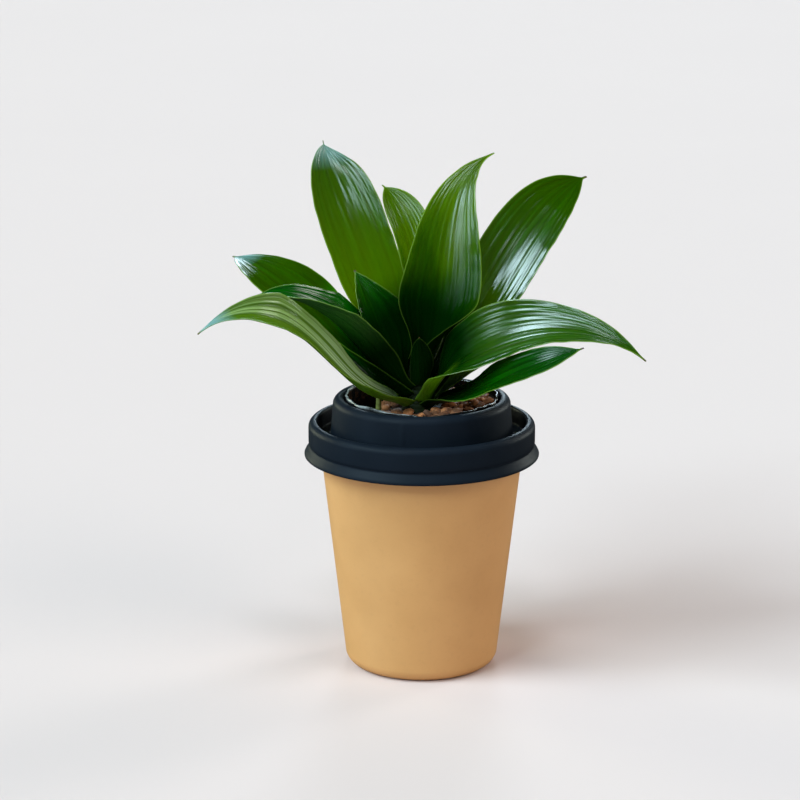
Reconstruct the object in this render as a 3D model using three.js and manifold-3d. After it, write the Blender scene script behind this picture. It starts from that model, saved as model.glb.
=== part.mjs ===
// A young dracaena rosette in a planter shaped like a take-away cup.
// Millimetres, +Z up. The origin is the centre of the cup's underside, where it stands.
// The front, where the moulded seam of the lid faces, looks along -Y.

import * as THREE from 'three';
import { mergeVertices } from 'three/addons/utils/BufferGeometryUtils.js';
import Module from 'manifold-3d';

const wasm = await Module();
wasm.setup();

// ---- driving dimensions -------------------------------------------------

const SIDES = 40;                 // facets round the cup, lid, liner and soil
const FIT = 0.3;                  // clearance between pieces that touch

const CUP_FOOT_R = 34.4;          // radius of the tapered wall carried down to the table
const CUP_SLOPE = 0.1157;         // growth of the radius for each millimetre of height
const CUP_CORNER = 6;             // rounding between the underside and the wall
const CUP_WALL = 2.4;
const CUP_FLOOR = 3;
const CUP_RIM_Z = 105.2;

const LIP_R = 53.5;               // flared lower edge of the lid
const LIP_Z = 98.7;
const NECK_R = 51;                // crease between the flare and the ring
const NECK_Z = 103.6;
const RING_R = 51.6;
const RING_TOP_Z = 114.8;
const RING_ROUND = 3;
const TROUGH_R = 47.4;            // outer wall of the groove round the collar
const TROUGH_Z = 107;
const LID_WALL = 1.5;
const COLLAR_FOOT_R = 41.6;
const COLLAR_R = 40.4;
const COLLAR_TOP_Z = 125.8;
const COLLAR_ROUND = 3.4;
const OPENING_R = 35.6;
const SEAM_X = -9;                // vertical moulding seam on the front of the collar
const SEAM_WIDTH = 2.2;
const SEAM_PROUD = 0.5;           // how far it stands out from the collar
const SEAM_DEPTH = 3;             // its full thickness, most of it sunk in the collar's wall

const LINER_FOOT_R = 28;
const LINER_TOP_R = OPENING_R - 0.5;
const LINER_FILM = 0.8;
const LINER_RIM_Z = 126;          // mean height of the torn rim
const TEARS = [                   // height, number and start of each wave round the rim
  [0.6, 2, 1],
  [0.4, 5, 0],
  [0.25, 11, 2],
];

const SOIL_Z = 120;               // height of the soil at the axis
const SOIL_TILT = 0.11;           // rise towards +X
const SOIL_DIP = 4;               // how much lower it lies at the far left
const SOIL_DIP_X = [-9, -21];     // where the dip starts and where it is full
const SOIL_BUMP = 0.5;
const CHIPS = 26;                 // pieces of bark on the soil
const CHIP_SEED = 6;
const CHIP_RING = [10, 30.5];     // nearest to the axis and furthest from it
const CHIP_LONG = [5, 9];         // smallest and largest size
const CHIP_WIDE = [2.6, 4.6];
const CHIP_THICK = [1.6, 2.6];
const CHIP_TILT = 0.25;           // steepest tilt in radians
const CHIP_LIFT = 0.3;            // height of its middle above the soil

const STEM_X = -2;
const STEM_FOOT_Z = 92;
const STEM_TAPER_Z = 119;         // the cane is straight below this height
const STEM_TOP_Z = 143.5;
const STEM_R = 7.5;
const STEM_TOP_R = 3;
const STEM_SIDES = 20;

const SHOOT_FOOT = [-19.4, 1, 108];
const SHOOT_TOP = [-19, 1.5, 131];
const SHOOT_R = 1.2;

const LEAF_ROWS = 16;             // steps along a blade
const LEAF_STRIPS = 6;            // strips across a blade
const RIB_STEPS = 12;             // steps of the midrib in each row
const LEAF_RIB = 1.2;             // thickness along the midrib
const LEAF_EDGE = 0.7;            // thickness at the margin
const SHEATH_REACH = 0.09;        // share of the length that clasps the stem
const FLAT_REACH = 0.32;          // share of the length over which the channel opens out
const CREASE_REACH = 0.25;        // share of the length over which the fold begins
const CREASE_ROUND = 0.2;         // softness of the fold along the midrib
const GROW_START = 0.03;          // where the blade starts to widen
const DRIP_LENGTH = 0.06;         // share of the length in the drawn-out tip
const DRIP_WIDTH = 0.07;          // its width as a share of the blade's
const DRIP_END = 0.35;            // share of that width left at the very end
const RIPPLE_STEP = 0.382;        // shift of the ripples from one leaf to the next, in waves
const RIPPLE_SHIFT = 0.3;         // shift from one margin to the other, in waves

// Each leaf is driven by its height on the stem, length and width in millimetres and
// angles in degrees. `base` is its width at the stem as a share of its full width. `turn`
// is its bearing (0 = +X, 90 = +Y) and `rise` its slope at the foot, middle and tip, and
// `sheath` is the slope at which it leaves the stem. `roll` tips the blade about its
// midrib at the middle and tip. `full` and `widest` shape its outline. `cup` bends it into
// a channel and `crease` folds it, each from foot to tip. `wave` is the height and number
// of the ripples along its margins.
const LEAVES = [
  { name: 'leaf_right_low', z: 122, long: 95, wide: 20, base: 0.67,
    turn: [-40, -48, 18], rise: [9, 28, 16], roll: [39, 16], sheath: 41,
    full: 3.3, widest: 0.53, cup: [20, 10], crease: [16, 8], wave: [0.7, 2] },
  { name: 'leaf_left_long', z: 122.5, long: 130, wide: 28, base: 0.57,
    turn: [215, 223, 199], rise: [4, 42, -40], roll: [-41, 4], sheath: 29,
    full: 0.9, widest: 0.67, cup: [18, 6], crease: [20, 8], wave: [0.9, 2.5] },
  { name: 'leaf_right_long', z: 124.5, long: 125, wide: 31, base: 0.42,
    turn: [-50, -24, -27], rise: [60, 18, -36], roll: [56, -4], sheath: 60,
    full: 1.8, widest: 0.23, cup: [15, 6], crease: [14, 8], wave: [0.9, 2.5] },
  { name: 'leaf_left_back', z: 126, long: 110, wide: 33, base: 0.5,
    turn: [200, 164, 123], rise: [38, 41, -3], roll: [-15, -9], sheath: 44,
    full: 2.2, widest: 0.56, cup: [18, 10], crease: [16, 8], wave: [0.6, 2] },
  { name: 'leaf_left_arched', z: 129, long: 88, wide: 39, base: 0.4,
    turn: [206, 196, 200], rise: [38, 45, -9], roll: [-3, -19], sheath: 38,
    full: 0.9, widest: 0.56, cup: [29, 12], crease: [34, 10], wave: [0.6, 2] },
  { name: 'leaf_tall_right', z: 131, long: 126, wide: 31, base: 0.3,
    turn: [26, 32, 42], rise: [34, 55, 8], roll: [40, 25], sheath: 53,
    full: 4.1, widest: 0.42, cup: [19, 10], crease: [16, 8], wave: [0.7, 2] },
  { name: 'leaf_tall_left', z: 130, long: 125, wide: 31, base: 0.3,
    turn: [109, 144, 99], rise: [46, 64, 35], roll: [-57, 25], sheath: 49,
    full: 4.5, widest: 0.47, cup: [23, 14], crease: [16, 8], wave: [0.6, 2] },
  { name: 'leaf_back_narrow', z: 134, long: 97, wide: 17, base: 0.38,
    turn: [69, 111, 127], rise: [69, 65, 21], roll: [-9, -22], sheath: 67,
    full: 3.7, widest: 0.61, cup: [25, 14], crease: [16, 8], wave: [0.4, 2] },
  { name: 'leaf_tall_middle', z: 139.5, long: 108, wide: 38, base: 0.62,
    turn: [35, 70, 19], rise: [66, 67, 23], roll: [22, 0], sheath: 66,
    full: 1.5, widest: 0.29, cup: [20, 12], crease: [16, 8], wave: [0.6, 2] },
  { name: 'leaf_young', z: 133, long: 55, wide: 32, base: 0.36,
    turn: [164, 153, 136], rise: [64, 63, 49], roll: [-27, -25], sheath: 67,
    full: 1.3, widest: 0.4, cup: [28, 22], crease: [24, 14], wave: [0.2, 1] },
  { name: 'leaf_spear', z: 132.5, long: 25, wide: 12, base: 0.75,
    turn: [280, 265, 269], rise: [74, 74, 64], roll: [-11, 0], sheath: 76,
    full: 2.2, widest: 0.37, cup: [59, 46], crease: [10, 8], wave: [0, 1] },
  { name: 'leaf_rear_upper', z: 126.5, long: 104, wide: 32, base: 0.34,
    turn: [100, 80, 84], rise: [19, 35, -12], roll: [4, -4], sheath: 65,
    full: 2.4, widest: 0.55, cup: [16, 8], crease: [16, 8], wave: [0.8, 2] },
  { name: 'leaf_rear_left', z: 124, long: 104, wide: 30, base: 0.32,
    turn: [123, 104, 110], rise: [18, 17, -32], roll: [-4, 8], sheath: 59,
    full: 2.3, widest: 0.56, cup: [24, 8], crease: [16, 8], wave: [0.8, 2.5] },
  { name: 'leaf_rear_low_left', z: 121.8, long: 56, wide: 19, base: 0.45,
    turn: [150, 160, 164], rise: [20, 38, 8], roll: [-10, 0], sheath: 24,
    full: 2.3, widest: 0.56, cup: [17, 8], crease: [16, 8], wave: [0.7, 2] },
  { name: 'leaf_rear_low_right', z: 121.8, long: 88, wide: 26, base: 0.38,
    turn: [44, 38, 30], rise: [21, 24, -14], roll: [10, 0], sheath: 36,
    full: 2.3, widest: 0.56, cup: [18, 8], crease: [16, 8], wave: [0.7, 2] },
  { name: 'leaf_rear_right', z: 124, long: 100, wide: 32, base: 0.3,
    turn: [45, 68, 66], rise: [38, 37, -10], roll: [6, -6], sheath: 31,
    full: 2.3, widest: 0.56, cup: [18, 8], crease: [16, 8], wave: [0.8, 2.5] },
];

// ---- materials ----------------------------------------------------------

function material(color, roughness) {
  return new THREE.MeshStandardMaterial({ color, roughness, metalness: 0 });
}

// ---- solids -------------------------------------------------------------

function weld(geometry) {
  const bare = geometry.clone();
  bare.deleteAttribute('normal');
  bare.deleteAttribute('uv');
  return mergeVertices(bare, 1e-4);
}

function toSolid(geometry) {
  const bare = weld(geometry);
  return new wasm.Manifold(new wasm.Mesh({
    numProp: 3,
    vertProperties: new Float32Array(bare.attributes.position.array),
    triVerts: new Uint32Array(bare.index.array),
  }));
}

function toGeometry(solid) {
  const mesh = solid.getMesh();
  const geometry = new THREE.BufferGeometry();
  geometry.setAttribute('position', new THREE.BufferAttribute(mesh.vertProperties, 3));
  geometry.setIndex(new THREE.BufferAttribute(mesh.triVerts, 1));
  return geometry;
}

function addPiece(group, name, geometry, look) {
  geometry.computeVertexNormals();
  const mesh = new THREE.Mesh(geometry, look);
  mesh.name = name;
  group.add(mesh);
}

// Revolves [radius, height] points about the Z axis.
function revolve(profile, sides = SIDES) {
  const points = profile.map(([r, z]) => new THREE.Vector2(r, z));
  return weld(new THREE.LatheGeometry(points, sides).rotateX(Math.PI / 2));
}

// Points along an arc in the [radius, height] plane, angles in degrees.
function arc(r, z, radius, from, to, steps) {
  const points = [];
  for (let i = 0; i <= steps; i++) {
    const angle = THREE.MathUtils.degToRad(from + (to - from) * i / steps);
    points.push([r + radius * Math.cos(angle), z + radius * Math.sin(angle)]);
  }
  return points;
}

function moveVertices(geometry, move) {
  const position = geometry.attributes.position;
  const point = new THREE.Vector3();
  for (let i = 0; i < position.count; i++) {
    point.fromBufferAttribute(position, i);
    move(point);
    position.setXYZ(i, point.x, point.y, point.z);
  }
  return geometry;
}

// A smooth step from 0 to 1 as x does so.
function smooth(x) {
  const share = THREE.MathUtils.clamp(x, 0, 1);
  return share * share * (3 - 2 * share);
}

// A repeatable sequence of numbers from 0 to 1.
function sequence(seed) {
  let state = seed;
  return () => {
    state = (state * 1103515245 + 12345) % 2147483648;
    return state / 2147483648;
  };
}

// ---- cup ----------------------------------------------------------------

function cupRadius(z) {
  return CUP_FOOT_R + CUP_SLOPE * z;
}

function makeCup() {
  const corner = cupRadius(CUP_CORNER) - CUP_CORNER;
  const innerCorner = CUP_CORNER - CUP_WALL;
  return revolve([
    [0, 0],
    ...arc(corner, CUP_CORNER, CUP_CORNER, -90, 0, 4),
    [cupRadius(CUP_RIM_Z), CUP_RIM_Z],
    [cupRadius(CUP_RIM_Z) - CUP_WALL, CUP_RIM_Z],
    ...arc(corner, CUP_FLOOR + innerCorner, innerCorner, 0, -90, 2),
    [0, CUP_FLOOR],
  ]);
}

// ---- lid ----------------------------------------------------------------

function lidProfile() {
  const ringRound = arc(RING_R - RING_ROUND, RING_TOP_Z - RING_ROUND, RING_ROUND, 0, 90, 4);
  const shoulder = arc(
    COLLAR_R - COLLAR_ROUND, COLLAR_TOP_Z - COLLAR_ROUND, COLLAR_ROUND, 5, 90, 4);
  return [
    [LIP_R, LIP_Z],
    [LIP_R - 0.2, LIP_Z + 1],
    [NECK_R + 0.7, NECK_Z - 2],
    [NECK_R, NECK_Z],
    [RING_R, NECK_Z + 0.9],
    ...ringRound,
    [TROUGH_R + 0.2, RING_TOP_Z - 0.5],
    [TROUGH_R, TROUGH_Z + 1],
    [TROUGH_R - 1, TROUGH_Z],
    [COLLAR_FOOT_R + 0.8, TROUGH_Z],
    [COLLAR_FOOT_R, TROUGH_Z + 0.9],
    ...shoulder,
    [OPENING_R + 0.4, COLLAR_TOP_Z - 0.2],
    [OPENING_R, COLLAR_TOP_Z - 0.9],
    [OPENING_R + 0.2, COLLAR_TOP_Z - LID_WALL - 0.2],
    [COLLAR_R - LID_WALL - 0.3, COLLAR_TOP_Z - COLLAR_ROUND - 1],
    [COLLAR_FOOT_R - LID_WALL, TROUGH_Z - LID_WALL],
    [cupRadius(CUP_RIM_Z) + 0.8, TROUGH_Z - LID_WALL],
    [NECK_R - LID_WALL, NECK_Z],
    [LIP_R - LID_WALL, LIP_Z],
    [LIP_R, LIP_Z],
  ];
}

// The seam follows the collar, which widens a little towards its foot.
function makeLid() {
  const foot = TROUGH_Z + 2.5;
  const top = COLLAR_TOP_Z - COLLAR_ROUND;
  const widening = (COLLAR_FOOT_R - COLLAR_R) / (top - TROUGH_Z);
  const seam = moveVertices(
    new THREE.BoxGeometry(SEAM_WIDTH, SEAM_DEPTH, top - foot), (point) => {
      point.z += (foot + top) / 2;
      point.y += SEAM_DEPTH / 2 - COLLAR_R - SEAM_PROUD - widening * (top - point.z);
    });
  seam.rotateZ(Math.asin(SEAM_X / COLLAR_R));
  return toGeometry(toSolid(revolve(lidProfile())).add(toSolid(seam)));
}

// ---- liner --------------------------------------------------------------

function linerRadius(z) {
  return LINER_FOOT_R + (LINER_TOP_R - LINER_FOOT_R) * z / LINER_RIM_Z;
}

// Height of the torn rim above its mean, at an angle round the pot.
function tear(angle) {
  return TEARS.reduce(
    (sum, [height, count, start]) => sum + height * Math.sin(count * angle + start), 0);
}

function makeLiner() {
  const foot = CUP_FLOOR + FIT;
  const inner = foot + LINER_FILM;
  const geometry = revolve([
    [0, foot],
    [linerRadius(foot) - 2, foot],
    [linerRadius(foot + 2), foot + 2],
    [linerRadius(LINER_RIM_Z - 5), LINER_RIM_Z - 5],
    [LINER_TOP_R, LINER_RIM_Z],
    [LINER_TOP_R - LINER_FILM, LINER_RIM_Z],
    [linerRadius(LINER_RIM_Z - 5) - LINER_FILM, LINER_RIM_Z - 5],
    [linerRadius(foot + 2) - LINER_FILM, inner + 1.5],
    [linerRadius(foot) - 2.4, inner],
    [0, inner],
  ]);
  return moveVertices(geometry, (point) => {
    if (point.z > LINER_RIM_Z - 1) {
      point.z += tear(Math.atan2(point.y, point.x));
    }
  });
}

// ---- soil ---------------------------------------------------------------

function soilHeight(x, y) {
  const ripple = Math.sin(0.9 * x + 1.3) * Math.cos(0.75 * y) + Math.sin(0.5 * x - 0.6 * y);
  const dip = SOIL_DIP * smooth((SOIL_DIP_X[0] - x) / (SOIL_DIP_X[0] - SOIL_DIP_X[1]));
  return SOIL_Z + SOIL_TILT * x + SOIL_BUMP / 2 * ripple - dip;
}

function soilRadius(z) {
  return linerRadius(z) - LINER_FILM - FIT;
}

// One flat piece of bark, with its own place, size, tilt and turn.
function makeChip(random) {
  const between = ([low, high], share) => low + (high - low) * share;
  const angle = between([0, 2 * Math.PI], random());
  const radius = between(CHIP_RING, Math.sqrt(random()));
  const x = radius * Math.cos(angle);
  const y = radius * Math.sin(angle);
  const chip = new THREE.BoxGeometry(
    between(CHIP_LONG, random()), between(CHIP_WIDE, random()), between(CHIP_THICK, random()));
  chip.rotateX(between([-CHIP_TILT, CHIP_TILT], random()));
  chip.rotateY(between([-CHIP_TILT, CHIP_TILT], random()));
  chip.rotateZ(between([0, Math.PI], random()));
  chip.translate(x, y, soilHeight(x, y) + CHIP_LIFT);
  return toSolid(chip);
}

function makeSoil() {
  const foot = CUP_FLOOR + FIT + LINER_FILM + FIT;
  const rings = [soilRadius(SOIL_Z), 28, 22, 16, 10, 5];
  const geometry = moveVertices(revolve([
    [0, foot],
    [soilRadius(foot) - 2.8, foot],
    [soilRadius(foot + 2.5), foot + 2.5],
    [soilRadius(SOIL_Z - 5), SOIL_Z - 5],
    ...rings.map((r) => [r, SOIL_Z]),
    [0, SOIL_Z],
  ]), (point) => {
    if (point.z > SOIL_Z - 1) {
      point.z = soilHeight(point.x, point.y);
    }
  });
  let soil = toSolid(geometry);
  const random = sequence(CHIP_SEED);
  for (let i = 0; i < CHIPS; i++) {
    soil = soil.add(makeChip(random));
  }
  soil = soil.intersect(toSolid(revolve([
    [0, foot - 1],
    [soilRadius(foot), foot - 1],
    [soilRadius(LINER_RIM_Z), LINER_RIM_Z],
    [0, LINER_RIM_Z],
  ])));
  soil = soil.subtract(toSolid(stemHole()));
  return toGeometry(soil.subtract(toSolid(shootShape(SHOOT_R + FIT, FIT, 0))));
}

// ---- stem and side shoot ------------------------------------------------

function stemRadius(z) {
  const share = THREE.MathUtils.clamp((z - STEM_TAPER_Z) / (STEM_TOP_Z - STEM_TAPER_Z), 0, 1);
  return STEM_R + (STEM_TOP_R - STEM_R) * share;
}

// The blunt foot of the stem, wider and deeper by a clearance.
function stemFoot(clearance) {
  const foot = STEM_FOOT_Z - clearance;
  const radius = STEM_R + clearance;
  return [[0, foot], [radius - 1.5, foot], [radius, foot + 2]];
}

function makeStem() {
  return revolve([
    ...stemFoot(0),
    [STEM_R, STEM_TAPER_Z],
    [stemRadius(STEM_TOP_Z - 2), STEM_TOP_Z - 2],
    [STEM_TOP_R - 1.2, STEM_TOP_Z],
    [0, STEM_TOP_Z],
  ], STEM_SIDES).translate(STEM_X, 0, 0);
}

// The straight hole in the soil that the stem stands in.
function stemHole() {
  const above = LINER_RIM_Z + 20;
  return revolve([
    ...stemFoot(FIT),
    [STEM_R + FIT, above],
    [0, above],
  ], STEM_SIDES).translate(STEM_X, 0, 0);
}

// A round stalk from its foot in the soil to its tip, slightly bowed.
function shootShape(radius, below, taper) {
  const foot = new THREE.Vector3(...SHOOT_FOOT);
  const top = new THREE.Vector3(...SHOOT_TOP);
  foot.z -= below;
  const middle = foot.clone().add(top).multiplyScalar(0.5).add(new THREE.Vector3(-0.5, 0, 0));
  const curve = new THREE.CatmullRomCurve3([foot, middle, top]);
  const section = new THREE.Shape().absarc(0, 0, radius, 0, 2 * Math.PI);
  const tube = new THREE.ExtrudeGeometry(section, { steps: 6, curveSegments: 10, extrudePath: curve });
  return moveVertices(tube, (point) => {
    if (taper > 0 && point.z > top.z - 0.5) {
      point.lerp(top, taper);
    }
  });
}

// ---- leaves -------------------------------------------------------------

// A smooth run through a value at the foot, the middle and the tip.
function along([foot, middle, tip], t) {
  return foot * (1 - t) * (1 - 2 * t) + 4 * middle * t * (1 - t) + tip * t * (2 * t - 1);
}

// Direction of the midrib and the blade's sideways and upward directions at t.
function leafFrame(leaf, t) {
  const hold = Math.max(leaf.sheath - leaf.rise[0], 0) * (1 - smooth(t / SHEATH_REACH));
  const turn = THREE.MathUtils.degToRad(along(leaf.turn, t));
  const rise = THREE.MathUtils.degToRad(along(leaf.rise, t) + hold);
  const roll = THREE.MathUtils.degToRad(along([0, ...leaf.roll], t));
  const forward = new THREE.Vector3(
    Math.cos(rise) * Math.cos(turn), Math.cos(rise) * Math.sin(turn), Math.sin(rise));
  const level = new THREE.Vector3(-Math.sin(turn), Math.cos(turn), 0);
  const upright = forward.clone().cross(level);
  const side = level.clone().multiplyScalar(Math.cos(roll)).addScaledVector(upright, Math.sin(roll));
  const up = upright.multiplyScalar(Math.cos(roll)).addScaledVector(level, -Math.sin(roll));
  return { forward, side, up };
}

// Half the blade's width at t.
function leafHalfWidth(leaf, t) {
  const share = smooth((t - GROW_START) / (leaf.widest - GROW_START));
  const grow = leaf.base + (1 - leaf.base) * share;
  const past = THREE.MathUtils.clamp(
    (t - leaf.widest) / (1 - DRIP_LENGTH * DRIP_END - leaf.widest), 0, 1);
  const blade = grow * (1 - past ** leaf.full);
  const left = Math.min((1 - t) / DRIP_LENGTH, 1.5) ** 1.3;
  const drip = DRIP_WIDTH * (DRIP_END + (1 - DRIP_END) * left);
  return leaf.wide / 2 * Math.hypot(blade, drip);
}

// The middle surface of a blade, as rows of points from margin to margin.
function leafSurface(leaf, index) {
  const stemGap = stemRadius(leaf.z) + FIT + LEAF_RIB / 2;
  const turn = THREE.MathUtils.degToRad(leaf.turn[0]);
  const rib = new THREE.Vector3(
    STEM_X + stemGap * Math.cos(turn), stemGap * Math.sin(turn), leaf.z);
  const clasp = leafHalfWidth(leaf, 0) / stemGap;
  const step = 1 / (LEAF_ROWS * RIB_STEPS);
  const rows = [];
  for (let row = 0; row <= LEAF_ROWS; row++) {
    const t = row / LEAF_ROWS;
    const { side, up } = leafFrame(leaf, t);
    const half = leafHalfWidth(leaf, t);
    const open = smooth(t / FLAT_REACH);
    const cup = THREE.MathUtils.degToRad(leaf.cup[0] + (leaf.cup[1] - leaf.cup[0]) * t);
    const bend = (clasp * (1 - open) + cup * open) / half;
    const crease = THREE.MathUtils.degToRad(
      leaf.crease[0] + (leaf.crease[1] - leaf.crease[0]) * t) * smooth(t / CREASE_REACH);
    const points = [];
    for (let strip = 0; strip <= LEAF_STRIPS; strip++) {
      const u = 2 * strip / LEAF_STRIPS - 1;
      const fold = (Math.hypot(u, CREASE_ROUND) - CREASE_ROUND)
        / (Math.hypot(1, CREASE_ROUND) - CREASE_ROUND) * half;
      const start = RIPPLE_STEP * index + (u > 0 ? RIPPLE_SHIFT : 0);
      const ripple = leaf.wave[0] * Math.sin(Math.PI * t) * u * u
        * Math.sin(2 * Math.PI * (leaf.wave[1] * t + start));
      const across = Math.sin(bend * half * u) / bend * Math.cos(crease);
      const lift = (1 - Math.cos(bend * half * u)) / bend + fold * Math.sin(crease) + ripple;
      points.push(rib.clone().addScaledVector(side, across).addScaledVector(up, lift));
    }
    rows.push(points);
    for (let i = 0; i < RIB_STEPS; i++) {
      const middle = leafFrame(leaf, t + (i + 0.5) * step);
      rib.addScaledVector(middle.forward, leaf.long * step);
    }
  }
  return rows;
}

// The direction square to a surface of rows and strips at one of its points.
function surfaceNormal(rows, row, strip) {
  const ahead = rows[Math.min(row + 1, LEAF_ROWS)][strip];
  const behind = rows[Math.max(row - 1, 0)][strip];
  const left = rows[row][Math.min(strip + 1, LEAF_STRIPS)];
  const right = rows[row][Math.max(strip - 1, 0)];
  return ahead.clone().sub(behind).cross(left.clone().sub(right)).normalize();
}

function makeLeaf(leaf, index) {
  const rows = leafSurface(leaf, index);
  const across = LEAF_STRIPS + 1;
  const layer = across * (LEAF_ROWS + 1);
  const positions = [];
  for (const side of [0.5, -0.5]) {
    for (let row = 0; row <= LEAF_ROWS; row++) {
      for (let strip = 0; strip <= LEAF_STRIPS; strip++) {
        const u = 2 * strip / LEAF_STRIPS - 1;
        const thick = LEAF_RIB + (LEAF_EDGE - LEAF_RIB) * Math.abs(u);
        const point = rows[row][strip].clone();
        point.addScaledVector(surfaceNormal(rows, row, strip), side * thick);
        positions.push(...point);
      }
    }
  }
  const faces = [];
  const quad = (a, b, c, d) => faces.push(a, b, c, a, c, d);
  for (let row = 0; row < LEAF_ROWS; row++) {
    for (let strip = 0; strip < LEAF_STRIPS; strip++) {
      const a = row * across + strip;
      const b = a + 1;
      const c = b + across;
      const d = a + across;
      faces.push(a, d, c, a, c, b);
      faces.push(a + layer, c + layer, d + layer, a + layer, b + layer, c + layer);
    }
    const first = row * across;
    const last = first + LEAF_STRIPS;
    quad(first, first + layer, first + across + layer, first + across);
    quad(last, last + across, last + across + layer, last + layer);
  }
  for (let strip = 0; strip < LEAF_STRIPS; strip++) {
    const end = LEAF_ROWS * across + strip;
    quad(strip, strip + 1, strip + 1 + layer, strip + layer);
    quad(end, end + layer, end + 1 + layer, end + 1);
  }
  const geometry = new THREE.BufferGeometry();
  geometry.setAttribute('position', new THREE.Float32BufferAttribute(positions, 3));
  geometry.setIndex(faces);
  return geometry;
}

// ---- assembly -----------------------------------------------------------

const plant = new THREE.Group();
addPiece(plant, 'cup', makeCup(), material(0xc9a068, 0.7));
addPiece(plant, 'lid', makeLid(), material(0x14171c, 0.45));
addPiece(plant, 'liner', makeLiner(), material(0x0b0b0d, 0.25));
addPiece(plant, 'soil', makeSoil(), material(0x6b3f26, 0.95));
addPiece(plant, 'stem', makeStem(), material(0x8a8450, 0.8));
addPiece(plant, 'side_shoot', shootShape(SHOOT_R, 0, 0.5), material(0x8f9a4a, 0.6));
LEAVES.forEach((leaf, index) => {
  addPiece(plant, leaf.name, makeLeaf(leaf, index), material(0x2c6a1e, 0.35));
});

export default plant;
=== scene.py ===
"""The looks of a young dracaena rosette in a planter shaped like a take-away cup.

Lengths are millimetres up to add_piece, which turns them into the frame's metres.
+Z is up, the origin is the centre of the cup's underside and the front looks along -Y.
"""

import math
import random

import bmesh
import bpy
import numpy as np
from mathutils import Matrix, Vector, noise


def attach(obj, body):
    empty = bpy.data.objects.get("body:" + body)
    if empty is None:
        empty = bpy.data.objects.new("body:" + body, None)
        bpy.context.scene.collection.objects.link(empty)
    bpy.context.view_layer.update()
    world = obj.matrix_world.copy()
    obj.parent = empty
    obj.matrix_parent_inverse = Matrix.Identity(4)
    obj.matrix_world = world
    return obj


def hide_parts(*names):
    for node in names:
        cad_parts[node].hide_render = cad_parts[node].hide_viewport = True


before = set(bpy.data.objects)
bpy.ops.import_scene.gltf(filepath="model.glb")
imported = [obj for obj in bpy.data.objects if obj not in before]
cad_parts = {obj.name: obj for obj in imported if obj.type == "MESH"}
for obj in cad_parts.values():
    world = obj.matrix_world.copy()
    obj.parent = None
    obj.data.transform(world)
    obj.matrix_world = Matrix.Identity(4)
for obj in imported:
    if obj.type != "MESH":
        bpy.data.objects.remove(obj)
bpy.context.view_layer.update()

MM = 0.001

# ---- camera -------------------------------------------------------------

CAMERA_PLACE = (-9.9, -1230, 447)
CAMERA_PITCH = math.radians(14.72)
CAMERA_LENS = 126
CAMERA_SENSOR = 36

# ---- light --------------------------------------------------------------

WORLD_STRENGTH = 0.03
FLOOR_REACH = 9                    # metres from the middle of the floor to its sides
# Each light has a name, bearing and height in degrees, colour, strength, how wide it looks
# in degrees and whether it shows as a highlight.
LIGHTS = (
    ("top", -95, 76, (0.8, 0.93, 1.0), 0.75, 13, True),
    ("left", -167, 47, (0.66, 0.91, 1.0), 1.4, 18, True),
    ("left_mid", -146, 39, (0.66, 0.91, 1.0), 1.45, 24, True),
    ("left_front", -124, 33, (0.66, 0.91, 1.0), 0.8, 14, True),
    ("left_low", -165, 10, (0.66, 0.91, 1.0), 0.6, 18, True),
    ("front", -88, 37, (0.8, 0.93, 1.0), 0.15, 9, True),
    ("back", 86, 21, (0.7, 0.88, 1.0), 1.0, 16, True),
    ("back_left", 140, 9, (0.95, 1.0, 0.7), 0.9, 20, True),
    ("right_back", 38, 10, (0.9, 0.97, 0.92), 0.9, 18, True),
    ("right", 38, 36, (0.95, 0.95, 0.9), 0.3, 14, True),
    ("fill", -35, 33, (0.97, 1.0, 0.9), 0.85, 40, False),
)

# ---- planter ------------------------------------------------------------

CUP_SIDES = 128
CUP_FOOT_R = 34.4                  # radius of the tapered wall carried down to the table
CUP_SLOPE = 0.1157                 # growth of the radius for each millimetre of height
CUP_CORNER = 6
CUP_WALL = 2.4
CUP_FLOOR = 3
CUP_RIM_Z = 105.2

LID_SIDES = 256
LIP_R = 53.5                       # flared lower edge of the lid
LIP_Z = 98.7
NECK_R = 51                        # crease between the flare and the ring
NECK_Z = 103.6
RING_R = 51.6
RING_TOP_Z = 114.8
RING_ROUND = 3
TROUGH_R = 47.4                    # outer wall of the groove round the collar
TROUGH_Z = 107
LID_WALL = 1.5
COLLAR_FOOT_R = 41.6
COLLAR_R = 40.4
COLLAR_TOP_Z = 125.8
COLLAR_ROUND = 3.4
OPENING_R = 35.6
SEAM_X = -9                        # vertical moulding seam on the front of the collar
SEAM_WIDTH = 0.6
SEAM_PROUD = 0.5                   # how far it stands out from the collar

LINER_SIDES = 240
LINER_FOOT_R = 28
LINER_TOP_R = 35.1
LINER_FILM = 0.5
LINER_SLACK = 0.1                  # how far the film stays inside the liner's solid
LINER_RIM_Z = 126                  # mean height of the torn rim
LINER_FOOT_Z = 3.3
RIM_BEAD = 0.45                    # radius of the rolled edge
RIM_HIGHLIGHT_BEARING = -150                    # bearing round which the rolled edge carries a painted highlight
RIM_HIGHLIGHT_REACH = (50, 85)          # degrees to where the painted highlight is full and to where it ends
RIM_HIGHLIGHT_DROP = 0.35                   # how far below the mean rim the painted highlight starts
RIM_HIGHLIGHT_FADE = 0.4                    # height over which it grows
CRUMPLE_DEPTH = 16                 # how far down from the rim the folds show
FOLDS = ((5, 0.16, 0, 1.44), (13, 0.4, 3, 0.72))    # pace round and up, layer, depth
TEARS = ((0.6, 2, 1), (0.4, 5, 0), (0.25, 11, 2))   # height, number, start of each wave
TEAR_DEPTH = 4                     # how far down from the rim the tears reach

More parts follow.
